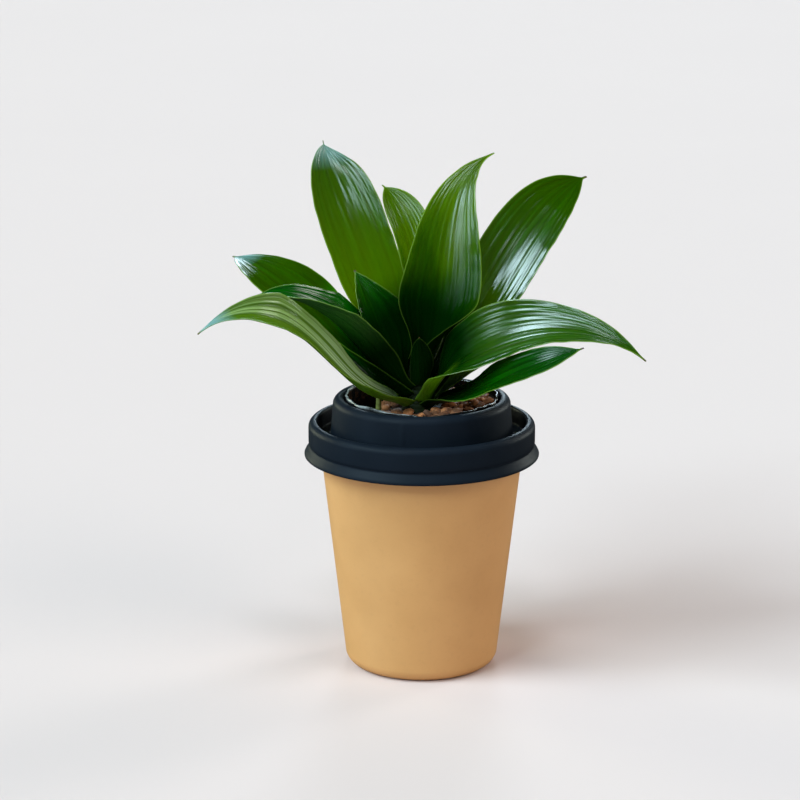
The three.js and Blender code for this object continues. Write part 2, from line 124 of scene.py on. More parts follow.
SOIL_SIDES = 120
SOIL_Z = 120                       # height of the soil at the axis
SOIL_TILT = 0.11                   # rise towards +X
SOIL_DIP = 4                       # how much lower it lies at the far left
SOIL_DIP_X = (-9, -21)             # where the dip starts and where it is full
SOIL_LUMPS = ((0.16, 1, 0.96), (0.5, 5, 0.48))      # pace, layer and height of the roughness
SOIL_FOOT_Z = 4.4
SOIL_GAP = 1.1                     # film and clearance between the soil and the liner

BARK_SEED = 11
BARK_GAP = 0.4                     # clearance to the edge of the soil
BARK_TILT = 0.3                    # usual tilt in radians
BARK_BULGES = ((0.55, 0.9), (0.3, 2.2))    # height and pace on a ball of radius 1
BARK_SQUARE = 0.7                  # 1 for round pieces, towards 0 for blocks
# Loose bark, pieces and then crumbs: how many, how near to the axis, smallest and largest
# length, width and thickness, whether the facets are coarse, and how high the middle lies
# above the soil in halves of the thickness.
BARK_LAYERS = (
    (150, 11, ((4, 9), (2.6, 5), (1.6, 3)), False, (0.0, 0.8)),
    (260, 10, ((1.2, 3), (0.9, 2), (0.8, 1.5)), True, (0.2, 1.0)),
)

STEM_SIDES = 48
STEM_RINGS = 160
STEM_X = -2
STEM_FOOT_Z = 92
STEM_TAPER_Z = 119                 # the cane is straight below this height
STEM_TOP_Z = 143.5
STEM_R = 7.5
STEM_TOP_R = 3
STEM_SLACK = 0.1                   # how far the bark stays inside the stem's solid
STEM_ROUND = 1.5                   # how far its two ends are rounded in
STEM_ROUND_REACH = 2               # height over which they are
STEM_SCAR = 2.1                    # height between the scars of fallen leaves
SCAR_DEPTH = 0.22
SCAR_WIDTH = 0.12                  # as a share of the height between the scars

SHOOT_SIDES = 24
SHOOT_RINGS = 60
SHOOT_FOOT = (-19.4, 1, 108)
SHOOT_TOP = (-19, 1.5, 131)
SHOOT_R = 1.2
SHOOT_SPREAD = 0.12                # how much thicker its foot is, as a share
SHOOT_BOW = 0.5
SHOOT_JOINTS = 5
JOINT_PROUD = 0.12
JOINT_WIDTH = 0.07                 # as a share of the length between the joints
SHOOT_TAPER = 0.55                 # share of the radius lost at the blunt tip
SHOOT_FLUTES = (5, 0.04)           # ridges round it and their height as a share of the radius

# ---- leaves -------------------------------------------------------------

# Each leaf is driven by its height on the stem, length and width, and angles in degrees.
# `base` is its width at the stem as a share of its full width. `turn` is its compass bearing
# (0 = +X, 90 = +Y) and `rise` its slope at the foot, middle and tip, and `sheath` is the
# slope at which it leaves the stem. `roll` tips the blade about its midrib at the middle and
# tip. `full` and `widest` shape its outline, and `drip` narrows its drawn-out tip. `cup`
# bends it into a channel and `crease` folds it, each from foot to tip. `wave` is the height
# and number of the ripples along its margins.
LEAVES = [
    dict(name="leaf_right_low", z=122, long=95, wide=20, base=0.67,
         turn=(-40, -48, 18), rise=(9, 28, 16), roll=(39, 16), sheath=41,
         full=3.3, widest=0.53, cup=(20, 10), crease=(16, 8), wave=(0.7, 2)),
    dict(name="leaf_left_long", z=122.5, long=130, wide=28, base=0.57,
         turn=(215, 223, 199), rise=(4, 42, -40), roll=(-41, 4), sheath=29,
         full=0.9, widest=0.67, cup=(18, 6), crease=(20, 8), wave=(0.9, 2.5)),
    dict(name="leaf_right_long", z=124.5, long=125, wide=31, base=0.42,
         turn=(-50, -24, -27), rise=(60, 18, -36), roll=(56, -4), sheath=60,
         full=1.8, widest=0.23, cup=(15, 6), crease=(14, 8), wave=(0.9, 2.5)),
    dict(name="leaf_left_back", z=126, long=110, wide=33, base=0.5,
         turn=(200, 164, 123), rise=(38, 41, -3), roll=(-15, -9), sheath=44,
         full=2.2, widest=0.56, cup=(18, 10), crease=(16, 8), wave=(0.6, 2)),
    dict(name="leaf_left_arched", z=129, long=88, wide=39, base=0.4,
         turn=(206, 196, 200), rise=(38, 45, -9), roll=(-3, -19), sheath=38,
         full=0.9, widest=0.56, cup=(29, 12), crease=(34, 10), wave=(0.6, 2)),
    dict(name="leaf_tall_right", z=131, long=126, wide=31, base=0.3,
         turn=(26, 32, 42), rise=(34, 55, 8), roll=(40, 25), sheath=53,
         full=4.1, widest=0.42, cup=(19, 10), crease=(16, 8), wave=(0.7, 2)),
    dict(name="leaf_tall_left", z=130, long=125, wide=31, base=0.3,
         turn=(109, 144, 99), rise=(46, 64, 35), roll=(-57, 25), sheath=49,
         full=4.5, widest=0.47, cup=(23, 14), crease=(16, 8), wave=(0.6, 2), drip=0.3),
    dict(name="leaf_back_narrow", z=134, long=97, wide=19, base=0.38,
         turn=(69, 111, 127), rise=(69, 65, 21), roll=(-9, -22), sheath=67,
         full=3.7, widest=0.61, cup=(25, 14), crease=(16, 8), wave=(0.4, 2)),
    dict(name="leaf_tall_middle", z=139.5, long=108, wide=38, base=0.62,
         turn=(35, 70, 19), rise=(66, 67, 23), roll=(22, 0), sheath=66,
         full=1.5, widest=0.29, cup=(20, 12), crease=(16, 8), wave=(0.6, 2)),
    dict(name="leaf_young", z=133, long=55, wide=32, base=0.36,
         turn=(164, 153, 136), rise=(64, 63, 49), roll=(-27, -25), sheath=67,
         full=1.3, widest=0.4, cup=(28, 22), crease=(24, 14), wave=(0.2, 1)),
    dict(name="leaf_spear", z=132.5, long=25, wide=12, base=0.75,
         turn=(280, 265, 269), rise=(74, 74, 64), roll=(-11, 0), sheath=76,
         full=2.2, widest=0.37, cup=(59, 46), crease=(10, 8), wave=(0, 1)),
    dict(name="leaf_rear_upper", z=126.5, long=104, wide=32, base=0.34,
         turn=(100, 80, 84), rise=(19, 35, -12), roll=(4, -4), sheath=65,
         full=2.4, widest=0.55, cup=(16, 8), crease=(16, 8), wave=(0.8, 2)),
    dict(name="leaf_rear_left", z=124, long=104, wide=30, base=0.32,
         turn=(123, 104, 110), rise=(18, 17, -32), roll=(-4, 8), sheath=59,
         full=2.3, widest=0.56, cup=(24, 8), crease=(16, 8), wave=(0.8, 2.5)),
    dict(name="leaf_rear_low_left", z=121.8, long=56, wide=19, base=0.45,
         turn=(150, 160, 164), rise=(20, 38, 8), roll=(-10, 0), sheath=24,
         full=2.3, widest=0.56, cup=(17, 8), crease=(16, 8), wave=(0.7, 2)),
    dict(name="leaf_rear_low_right", z=121.8, long=88, wide=26, base=0.38,
         turn=(44, 38, 30), rise=(21, 24, -14), roll=(10, 0), sheath=36,
         full=2.3, widest=0.56, cup=(18, 8), crease=(16, 8), wave=(0.7, 2)),
    dict(name="leaf_rear_right", z=124, long=100, wide=32, base=0.3,
         turn=(45, 68, 66), rise=(38, 37, -10), roll=(6, -6), sheath=31,
         full=2.3, widest=0.56, cup=(18, 8), crease=(16, 8), wave=(0.8, 2.5)),
]

# How the paint of single leaves differs from the plain one. `gloss` scales the highlights
# and `glow` the light that shines through, each at the foot, middle and tip. `tint`
# multiplies the red, green and blue of the upper face, and `tip_tint` takes its place past
# the middle; on several leaves these tints are painted light and shade. `pale` is the strength
# of the pale stripes, partly a painted sheen, `foot` that of the light green foot and the
# last key that of the painted highlight at the tip.
PLAIN_PAINT = dict(gloss=(1, 1, 1), glow=(1, 1, 1), tint=(1, 1, 1), pale=0, foot=0, tip_highlight=0)
# Several tints are painted light and shade: leaves that lie in shade lose red for the hue of shade
# and some gain green to lift them, while the spear in the heart is darkened.
LEAF_PAINT = {
    "leaf_right_low": dict(gloss=(0.2, 0.2, 0.4), glow=(0.05, 0.05, 0.05), tint=(0.3, 1, 0.3)),
    "leaf_left_long": dict(gloss=(1, 0.6, 1), glow=(0.6, 0.6, 0.6), pale=1, tip_highlight=0.9),
    "leaf_right_long": dict(gloss=(0.7, 1.2, 0), glow=(0.6, 0.6, 0.6), tint=(0.8, 1.3, 0.8),
                            foot=1),
    "leaf_left_back": dict(gloss=(0, -0.6, 1), glow=(0, 0.4, 0.6), tint=(0.3, 4.5, 0.2),
                           tip_tint=(1, 1.1, 1), tip_highlight=0.6),
    "leaf_left_arched": dict(gloss=(0.7, 0.7, 0.7), glow=(0, 0, 0), tint=(0.3, 1.8, 0.3)),
    "leaf_tall_right": dict(gloss=(1, 0.9, -1), glow=(0.5, 0.5, 0.5)),
    "leaf_tall_left": dict(gloss=(0.3, 0.1, 1.1), glow=(1.2, 0.8, 0.5), tip_highlight=0.5),
    "leaf_back_narrow": dict(gloss=(0.4, 0.4, 0.4)),
    "leaf_tall_middle": dict(gloss=(0, 0.25, 1.3)),
    "leaf_young": dict(gloss=(0.3, 0.3, 0.2), glow=(0.4, 0.4, 0.4), tint=(0.9, 1.7, 0.8)),
    "leaf_spear": dict(glow=(0.2, 0.2, 0.2), tint=(0.5, 0.6, 0.5)),
    "leaf_rear_low_left": dict(gloss=(0.2, 0.2, 0.2), glow=(0, 0, 0), tint=(0.3, 1.8, 0.3)),
}
PAINT_LIMIT = 1.2                  # `gloss` and `glow` are kept between 0 and this
TINT_TURN = (0.45, 0.6)            # where along a blade `tint` ends and `tip_tint` is full

LEAF_ROWS = 96
LEAF_STRIPS = 48
STRIP_CROWDING = 0.82              # 0 for even strips, towards 1 for crowding at the margins
RIB_STEPS = 2                      # steps of the midrib in each row
LEAF_RIB = 0.95                    # thickness along the midrib
LEAF_EDGE = 0.4                    # thickness at the margin
LEAF_OFFSET = 0.9                  # middle surface's distance from the stem at the foot
SHEATH_REACH = 0.09                # share of the length that clasps the stem
FLAT_REACH = 0.32                  # share of the length over which the channel opens out
CREASE_REACH = 0.25                # share of the length over which the fold begins
CREASE_ROUND = 0.2                 # softness of the fold along the midrib
GROW_START = 0.03                  # where the blade starts to widen
DRIP_LENGTH = 0.06                 # share of the length in the drawn-out tip
DRIP_WIDTH = 0.07                  # its width as a share of the blade's
DRIP_END = 0.35                    # share of that width left at the very end
RIPPLE_STEP = 0.382                # shift of the ripples from one leaf to the next, in waves
RIPPLE_SHIFT = 0.3                 # shift from one margin to the other, in waves
PLEAT_HEIGHT = 0.15
PLEATS = ((1, 6.2), (0.6, 3.534), (0.5, 10.106))    # strength and number on half a blade
PLEAT_FADE = (0.12, 0.14)          # shares of the length over which they fade at foot and tip
GROOVE_DEPTH = 1.6                 # depth of the midrib's groove in heights of a pleat
GROOVE_WIDTH = 0.9
GROOVE_FADE = (0.1, 0.2)
FRILL_HEIGHT = 0.15
FRILLS = (5, 8.3, 13.7)            # numbers of small waves along a margin
FRILL_FADE = (0.2, 0.15)
FRILL_WIDE = 30                    # blades narrower than this have lower small waves
LEAF_SEED = 5
HEART = (-2, -2, 146)              # middle of the hollow between the leaf bases, round which shade is painted
HEART_REACH = (20, 46)             # painted shade full within the first distance, none beyond the second


# ---- colours ------------------------------------------------------------

def rgb(red, green, blue):
    """A linear colour with full cover."""
    return (red, green, blue, 1)


WORLD_COLOUR = rgb(0.9, 0.95, 1.0)
FLOOR_GREYS = rgb(0.727, 0.582, 0.557), rgb(0.742, 0.594, 0.568)
CUP_TANS = rgb(0.62, 0.3, 0.1), rgb(0.68, 0.34, 0.12)
CUP_FIBRE = rgb(0.45, 0.22, 0.08)
LID_BLACKS = rgb(0.0055, 0.009, 0.0145), rgb(0.0085, 0.013, 0.021)
LINER_BLACKS = rgb(0.004, 0.004, 0.005), rgb(0.012, 0.012, 0.014)
# Painted highlight on the rolled edge of the film, on the side the lights come from.
LINER_RIM_HIGHLIGHT = rgb(0.33, 0.34, 0.34)
SOIL_BROWNS = rgb(0.005, 0.003, 0.002), rgb(0.04, 0.018, 0.009)
BARK_BROWNS = rgb(0.1, 0.032, 0.013), rgb(0.7, 0.25, 0.09)
BARK_GREY = rgb(0.12, 0.07, 0.045)
BARK_CRACK = rgb(0.03, 0.012, 0.006)
CANE_GREENS = rgb(0.003, 0.008, 0.002), rgb(0.015, 0.028, 0.006)
STALK_GREENS = rgb(0.14, 0.16, 0.03), rgb(0.34, 0.36, 0.1)
LEAF_FACES = rgb(0.001, 0.022, 0.0003), rgb(0.005, 0.06, 0.0005)
LEAF_BACKS = rgb(0.003, 0.05, 0.0005), rgb(0.012, 0.09, 0.001)
LEAF_VEIN = rgb(0.015, 0.09, 0.001)
# Pale stripes of the pale leaf, partly painted sheen and highlight, whitest near the foot.
LEAF_STRIPES_AND_SHEEN = rgb(0.42, 0.62, 0.2), rgb(0.9, 1.0, 0.72)       # towards the tip, near the foot
# Painted glow of fresh green, for light shining through the other half of the pale leaf.
LEAF_FRESH_GLOW = rgb(0.08, 0.19, 0.004)
LEAF_FOOT = rgb(0.09, 0.24, 0.006)
# Painted shade in the hollow between the leaf bases.
LEAF_HEART_SHADE = rgb(0.0004, 0.007, 0.0004)
# Painted glow along the thin margins, where light shines through them.
LEAF_MARGIN_GLOW = rgb(0.2, 0.33, 0.04)
# Painted highlight at the tips of some leaves, pale blue and streaky.
LEAF_TIP_HIGHLIGHT = rgb(0.22, 0.42, 0.46)
LEAF_DRY = rgb(0.07, 0.035, 0.015)
LEAF_GLOWS = rgb(0.6, 0.82, 0.01), rgb(0.75, 0.95, 0.15)       # inside, at the margin


# ---- shared tools -------------------------------------------------------

def smooth(x):
    """A smooth step from 0 to 1 as x does so."""
    share = np.clip(x, 0, 1)
    return share * share * (3 - 2 * share)


def arc(r, z, radius, start, end, steps):
    """Points along an arc in the radius and height plane, angles in degrees."""
    angles = np.radians(np.linspace(start, end, steps + 1))
    return [(r + radius * math.cos(a), z + radius * math.sin(a)) for a in angles]


def add_piece(name, points, faces, look, nodes=(), marks=None):
    """A smooth-shaded piece from points in millimetres. marks are named point values."""
    mesh = bpy.data.meshes.new(name)
    mesh.from_pydata((np.asarray(points, float) * MM).tolist(), [], faces)
    for key, values in (marks or {}).items():
        values = np.asarray(values, np.float32)
        if values.ndim == 1:
            mesh.attributes.new(key, "FLOAT", "POINT").data.foreach_set("value", values)
        else:
            mesh.attributes.new(key, "FLOAT_VECTOR", "POINT").data.foreach_set(
                "vector", values.ravel())
    shell = bmesh.new()
    shell.from_mesh(mesh)
    bmesh.ops.remove_doubles(shell, verts=shell.verts, dist=1e-7)
    bmesh.ops.recalc_face_normals(shell, faces=shell.faces)
    shell.to_mesh(mesh)
    shell.free()
    mesh.shade_smooth()
    mesh.materials.append(look)
    piece = bpy.data.objects.new(name, mesh)
    bpy.context.scene.collection.objects.link(piece)
    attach(piece, "root")
    if nodes:
        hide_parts(*nodes)


def lathe(profile, sides, move=None):
    """Points and faces of a closed radius and height profile turned about the Z axis."""
    profile = np.asarray(profile, float)
    angle = np.arange(sides) * 2 * math.pi / sides
    r = np.repeat(profile[:, :1], sides, 1)
    z = np.repeat(profile[:, 1:], sides, 1)
    if move:
        r, z = move(angle[None, :] + 0 * r, r, z)
    points = np.stack([r * np.cos(angle), r * np.sin(angle), z], -1).reshape(-1, 3)
    faces = []
    for i in range(len(profile) - 1):
        for j in range(sides):
            k = (j + 1) % sides
            faces.append((i * sides + j, i * sides + k, (i + 1) * sides + k, (i + 1) * sides + j))
    return points, faces


def level_ring(centre, radii):
    """Points of a level ring with the given radii, evenly round a centre."""
    angle = np.arange(len(radii)) * 2 * math.pi / len(radii)
    x, y, z = centre
    return np.stack([x + radii * np.cos(angle), y + radii * np.sin(angle), z + 0 * angle], -1)


def loft(rings):
    """Points and faces of a tube through rings of points, closed at both ends."""
    rings = np.asarray(rings, float)
    count, sides = rings.shape[:2]
    points = rings.reshape(-1, 3)
    faces = [
        (i * sides + j, i * sides + (j + 1) % sides,
         (i + 1) * sides + (j + 1) % sides, (i + 1) * sides + j)
        for i in range(count - 1) for j in range(sides)
    ]
    faces.append(tuple(range(sides - 1, -1, -1)))
    faces.append(tuple((count - 1) * sides + j for j in range(sides)))
    return points, faces


# ---- materials ----------------------------------------------------------

class Look:
    """A material's node tree, with short calls to add and join nodes."""

    def __init__(self, name):
        self.material = bpy.data.materials.new(name)
        self.material.use_nodes = True
        self.tree = self.material.node_tree
        self.tree.nodes.clear()

    def node(self, kind, sockets=None, **settings):
        """A new node, with each socket joined to another socket or set to a value."""
        made = self.tree.nodes.new("ShaderNode" + kind)
        for key, value in settings.items():
            setattr(made, key, value)
        for key, value in (sockets or {}).items():
            if isinstance(value, bpy.types.NodeSocket):
                self.tree.links.new(value, made.inputs[key])
            else:
                made.inputs[key].default_value = value
        return made

    def math(self, operation, a, b):
        return self.node("Math", {0: a, 1: b}, operation=operation).outputs[0]

    def plus(self, a, b):
        return self.math("ADD", a, b)

    def times(self, first, *others):
        """The product of all the values."""
        for other in others:
            first = self.math("MULTIPLY", first, other)
        return first

    def rest(self, share):
        """What a share leaves of 1."""
        return self.math("SUBTRACT", 1.0, share)

    def between(self, low, high, share):
        """A number that goes from low to high as share goes from 0 to 1."""
        return self.plus(self.times(share, high - low), low)

    def mix(self, share, a, b, blend="MIX"):
        """Colour a turning into colour b, or blended with it, as share goes from 0 to 1."""
        made = self.node("Mix", {0: share, 6: a, 7: b}, data_type="RGBA", blend_type=blend)
        return made.outputs[2]

    def ramp(self, value, *stops):
        """A run through (position, grey) stops."""
        made = self.node("ValToRGB", {0: value})
        band = made.color_ramp
        while len(band.elements) < len(stops):
            band.elements.new(0.5)
        for element, (place, grey) in zip(band.elements, stops):
            element.position = place
            element.color = rgb(grey, grey, grey)
        return made.outputs[0]

    def mark(self, name, output="Fac"):
        """A named value of the mesh's points."""
        return self.node("Attribute", attribute_name=name).outputs[output]

    def parts(self, name):
        """The three parts of a named vector of the mesh's points."""
        return self.node("SeparateXYZ", {"Vector": self.mark(name, "Vector")}).outputs

    def noise(self, scale, detail, place=None):
        place = place or self.node("TexCoord").outputs["Object"]
        return self.node("TexNoise", {"Vector": place, "Scale": scale, "Detail": detail}).outputs[0]

    def bump(self, height, depth, strength, under=None):
        """Relief of the given depth in millimetres, on top of the relief under it."""
        sockets = {"Height": height, "Distance": depth * MM, "Strength": strength}
        if under:
            sockets["Normal"] = under
        return self.node("Bump", sockets).outputs[0]

    def surface(self, colour, roughness, relief=None, specular=0.5):
        sockets = {"Base Color": colour, "Roughness": roughness, "Specular IOR Level": specular}
        if relief:
            sockets["Normal"] = relief
        return self.node("BsdfPrincipled", sockets).outputs[0]

    def finish(self, shader):
        """The finished material."""
        self.node("OutputMaterial", {"Surface": shader})
        return self.material


class LeafLook(Look):
    """The leaves' material, with sockets that say where on a blade a point lies."""

    def __init__(self):
        super().__init__("leaf")
        self.across, self.length, self.rim = self.parts("blade")
        self.seed, self.pale, self.under = self.parts("tone")
        self.side = self.plus(self.times(self.across, 0.5), 0.5)
        self.streak = self.noise(1.6, 3, self.drawn_out(5, 1.6, 40))
        self.veins = self.noise(1.0, 1, self.drawn_out(60, 2, 1))
        self.foot = self.times(
            self.mark("foot"), self.ramp(self.length, (0.16, 1.0), (0.26, 0.0)),
            self.ramp(self.side, (0.35, 1.0), (0.55, 0.0)))
        # Painted shade, darkest at the heart of the rosette.
        self.heart_shade = self.depth()
        # Where the margins lie, weaker in the painted shade; it places their painted glow and the
        # colour of the light shining through.
        self.margin = self.times(self.ramp(self.rim, (0.1, 1.0), (0.42, 0.0)),
                                 self.rest(self.times(self.heart_shade, 0.75)))

    def drawn_out(self, across, length, seed):
        """A place for a noise that is drawn out along the blade and differs between leaves."""
        return self.node("CombineXYZ", {
            "X": self.times(self.across, across), "Y": self.times(self.length, length),
            "Z": self.times(self.seed, seed)}).outputs[0]

    def depth(self):
        """How much painted shade a point gets from its nearness to the heart of the rosette, 0 to
        1.
        """
        away = self.node("VectorMath", {
            0: self.node("TexCoord").outputs["Object"], 1: [c * MM for c in HEART]},
            operation="DISTANCE").outputs["Value"]
        near, far = (reach * MM for reach in HEART_REACH)
        heart_shade = self.node("MapRange", {0: away, 1: near, 2: far, 3: 1.0, 4: 0.0},
                         interpolation_type="SMOOTHSTEP").outputs[0]
        return self.times(heart_shade, self.rest(self.math("MAXIMUM", self.foot, self.pale)))

    def stripe_sheen(self, green):
        """Pale stripes on one half of a pale leaf, partly painted sheen and highlight, and a
        painted glow of fresh green over the other half.
        """
        bands = self.noise(1.0, 2, self.drawn_out(11, 1, 1))
        stripes = self.times(
            self.ramp(bands, (0.4, 0.1), (0.58, 1.0)),
            self.ramp(self.side, (0.0, 0.35), (0.44, 1.0), (0.52, 0.0)), self.pale)
        near_foot = self.ramp(self.length, (0.2, 1.0), (0.6, 0.0))
        green = self.mix(stripes, green, self.mix(near_foot, *LEAF_STRIPES_AND_SHEEN))
        fresh = self.times(self.ramp(self.side, (0.48, 0.0), (0.56, 0.8)), self.pale)
        return self.mix(fresh, green, LEAF_FRESH_GLOW)

    def face(self):
        """The upper side, dark green with lighter streaks and veins, tinted leaf by leaf, the tint
        partly painted light and shade.
        """
        green = self.mix(self.ramp(self.streak, (0.34, 0.0), (0.68, 1.0)), *LEAF_FACES)
        vein = self.times(self.ramp(self.veins, (0.5, 0.0), (0.75, 1.0)), 0.25)
        green = self.stripe_sheen(self.mix(vein, green, LEAF_VEIN))
        return self.mix(1.0, green, self.mark("tint", "Color"), "MULTIPLY")

    def colour(self):
        """Both sides, then what lies over them: foot, painted shade at the heart, painted glow at
        the margins, painted highlight at the tip and dry tip.
        """
        colour = self.mix(self.under, self.face(), self.mix(self.streak, *LEAF_BACKS))
        colour = self.mix(self.foot, colour, LEAF_FOOT)
        # Painted shade towards the heart.
        colour = self.mix(self.times(self.heart_shade, 0.93), colour, LEAF_HEART_SHADE)
        # Painted glow along the margins.
        colour = self.mix(self.times(self.margin, 0.5), colour, LEAF_MARGIN_GLOW)
        # A painted highlight near the tip, broken into streaks.
        tip_shine = self.times(self.mark("tip_highlight"), self.ramp(self.length, (0.86, 0.0), (0.93, 1.0)),
                          self.ramp(self.streak, (0.3, 0.5), (0.5, 1.0)))
        colour = self.mix(tip_shine, colour, LEAF_TIP_HIGHLIGHT)
        return self.mix(self.ramp(self.length, (0.98, 0.0), (0.992, 1.0)), colour, LEAF_DRY)


def leaf_look():
    look = LeafLook()
    relief = look.bump(look.veins, 0.05, 0.8)
    relief = look.bump(look.noise(900, 2), 0.012, 0.5, relief)
    # The painted shade also dims the highlights and the light that shines through.
    lit = look.rest(look.times(look.heart_shade, 0.95))
    rough = look.plus(look.times(look.streak, 0.08), look.between(0.15, 0.4, look.under))
    skin = look.surface(look.colour(), rough, relief, look.times(lit, 0.9, look.mark("gloss")))
    glow = look.node("BsdfTranslucent", {
        "Color": look.mix(look.margin, *LEAF_GLOWS), "Normal": relief}).outputs[0]
    share = look.times(look.between(0.36, 0.66, look.under), lit, look.mark("glow"))
    return look.finish(look.node("MixShader", {0: share, 1: skin, 2: glow}).outputs[0])


def cup_look():
    look = Look("cup")
    mottle = look.noise(35, 4)
    fibre = look.noise(420, 3)
    colour = look.mix(look.ramp(mottle, (0.3, 0.0), (0.7, 1.0)), *CUP_TANS)
    strands = look.times(look.ramp(fibre, (0.55, 0.0), (0.75, 1.0)), 0.1)
    colour = look.mix(strands, colour, CUP_FIBRE)
    relief = look.bump(fibre, 0.03, 0.5)
    return look.finish(look.surface(colour, look.between(0.5, 0.6, mottle), relief))


def lid_look():
    look = Look("lid")
    mottle = look.noise(60, 4)
    colour = look.mix(mottle, *LID_BLACKS)
    relief = look.bump(look.noise(1400, 2), 0.02, 0.5)
    return look.finish(look.surface(colour, look.between(0.42, 0.54, mottle), relief, 0.08))


def liner_look():
    look = Look("liner")
    crinkle = look.noise(260, 5)
    colour = look.mix(crinkle, *LINER_BLACKS)
    # A painted highlight along the rim, broken up by noise.
    rim_highlight = look.times(look.mark("rim_highlight"), look.ramp(look.noise(170, 3), (0.36, 0.15), (0.55, 1.0)))
    colour = look.mix(rim_highlight, colour, LINER_RIM_HIGHLIGHT)
    relief = look.bump(crinkle, 0.35, 0.7)
    return look.finish(look.surface(colour, look.between(0.1, 0.25, crinkle), relief, 0.6))


def soil_look():
    look = Look("soil")
    clods = look.noise(240, 6)
    colour = look.mix(look.ramp(clods, (0.35, 0.0), (0.7, 1.0)), *SOIL_BROWNS)
    relief = look.bump(clods, 1.0, 0.9)
    return look.finish(look.surface(colour, look.between(0.7, 0.9, clods), relief))


def bark_look():
    look = Look("bark")
    shade, grey, _ = look.parts("tone")
    layers = look.noise(380, 4)
    pits = look.noise(900, 3)
    colour = look.mix(shade, *BARK_BROWNS)
    colour = look.mix(look.times(grey, 0.6), colour, BARK_GREY)
    cracks = look.times(look.ramp(layers, (0.45, 0.0), (0.65, 1.0)), 0.55)
    colour = look.mix(cracks, colour, BARK_CRACK)
    relief = look.bump(pits, 0.25, 0.7, look.bump(layers, 0.5, 0.8))
    return look.finish(look.surface(colour, look.between(0.62, 0.82, pits), relief))


def stem_look(name, greens):
    look = Look(name)
    place = look.node("TexCoord").outputs["Object"]
    flat = look.node("Mapping", {"Vector": place, "Scale": (90, 90, 500)}).outputs[0]
    bands = look.noise(1.0, 3, flat)
    colour = look.mix(look.ramp(bands, (0.35, 0.0), (0.7, 1.0)), *greens)
    relief = look.bump(bands, 0.2, 0.6)
    return look.finish(look.surface(colour, look.between(0.5, 0.7, bands), relief, 0.2))


def floor_look():
    look = Look("floor")
    return look.finish(look.surface(look.mix(look.noise(3, 3), *FLOOR_GREYS), 0.9, specular=0.1))


# ---- planter pieces -----------------------------------------------------

def cup_radius(z):
    return CUP_FOOT_R + CUP_SLOPE * z


def make_cup(look):
    corner = cup_radius(CUP_CORNER) - CUP_CORNER
    inner = CUP_CORNER - CUP_WALL
    lip = CUP_WALL / 2
    rim = cup_radius(CUP_RIM_Z) - lip
    walls = np.linspace(CUP_CORNER, CUP_RIM_Z - lip, 14)[1:]
    profile = [(0, 0), (corner - 1, 0)]
    profile += arc(corner, CUP_CORNER, CUP_CORNER, -90, 0, 12)
    profile += [(cup_radius(z), z) for z in walls]
    profile += arc(rim, CUP_RIM_Z - lip, lip, 10, 170, 8)
    profile += [(cup_radius(z) - CUP_WALL, z) for z in walls[::-1]]
    profile += arc(corner, CUP_FLOOR + inner, inner, 0, -90, 6)
    profile += [(corner - 1, CUP_FLOOR), (0, CUP_FLOOR)]
    points, faces = lathe(profile, CUP_SIDES)
    add_piece("cup_body", points, faces, look, ["cup"])


def lid_profile():
    """The lid's section from its lip up the outside, over the collar and back inside."""
    crown = COLLAR_TOP_Z - COLLAR_ROUND
    under = COLLAR_FOOT_R - LID_WALL
    profile = [(LIP_R - 0.35, LIP_Z), (LIP_R - 0.05, LIP_Z + 0.3), (LIP_R, LIP_Z + 0.8)]
    profile += [(LIP_R - 0.5, LIP_Z + 1.9), (NECK_R + 1.1, NECK_Z - 1.9)]
    profile += [(NECK_R + 0.35, NECK_Z - 0.7), (NECK_R, NECK_Z - 0.1)]
    profile += [(NECK_R + 0.15, NECK_Z + 0.35), (RING_R - 0.12, NECK_Z + 0.75)]
    profile += [(RING_R, NECK_Z + 1.5), (RING_R, NECK_Z + 4)]
    profile += arc(RING_R - RING_ROUND, RING_TOP_Z - RING_ROUND, RING_ROUND, 0, 90, 12)
    profile += [(TROUGH_R + 0.75, RING_TOP_Z - 0.08), (TROUGH_R + 0.3, RING_TOP_Z - 0.45)]
    profile += [(TROUGH_R + 0.08, RING_TOP_Z - 1.1), (TROUGH_R, TROUGH_Z + 1.4)]
    profile += arc(TROUGH_R - 1, TROUGH_Z + 1, 1, 0, -90, 5)
    profile += arc(COLLAR_FOOT_R + 1, TROUGH_Z + 1, 1, -90, -180, 5)
    profile += [(COLLAR_FOOT_R - 0.35, TROUGH_Z + 5), (COLLAR_R + 0.3, crown - 4)]
    profile += arc(COLLAR_R - COLLAR_ROUND, crown, COLLAR_ROUND, 4, 88, 14)
    profile += [(OPENING_R + 0.6, COLLAR_TOP_Z - 0.08), (OPENING_R + 0.2, COLLAR_TOP_Z - 0.35)]
    profile += [(OPENING_R, COLLAR_TOP_Z - 0.8), (OPENING_R + 0.1, COLLAR_TOP_Z - 1.4)]
    profile += [(OPENING_R + 0.5, COLLAR_TOP_Z - 1.7), (COLLAR_R - 3.5, crown + 1.4)]
    profile += [(COLLAR_R - 2, crown - 0.5), (COLLAR_R - 1.6, crown - 3)]
    profile += [(under, TROUGH_Z - LID_WALL + 1), (under + 0.8, TROUGH_Z - LID_WALL)]
    profile += [(NECK_R - 1.8, TROUGH_Z - LID_WALL), (NECK_R - 1.4, NECK_Z)]
    profile += [(LIP_R - 1.4, LIP_Z + 0.4), (LIP_R - 1, LIP_Z), (LIP_R - 0.35, LIP_Z)]
    return profile


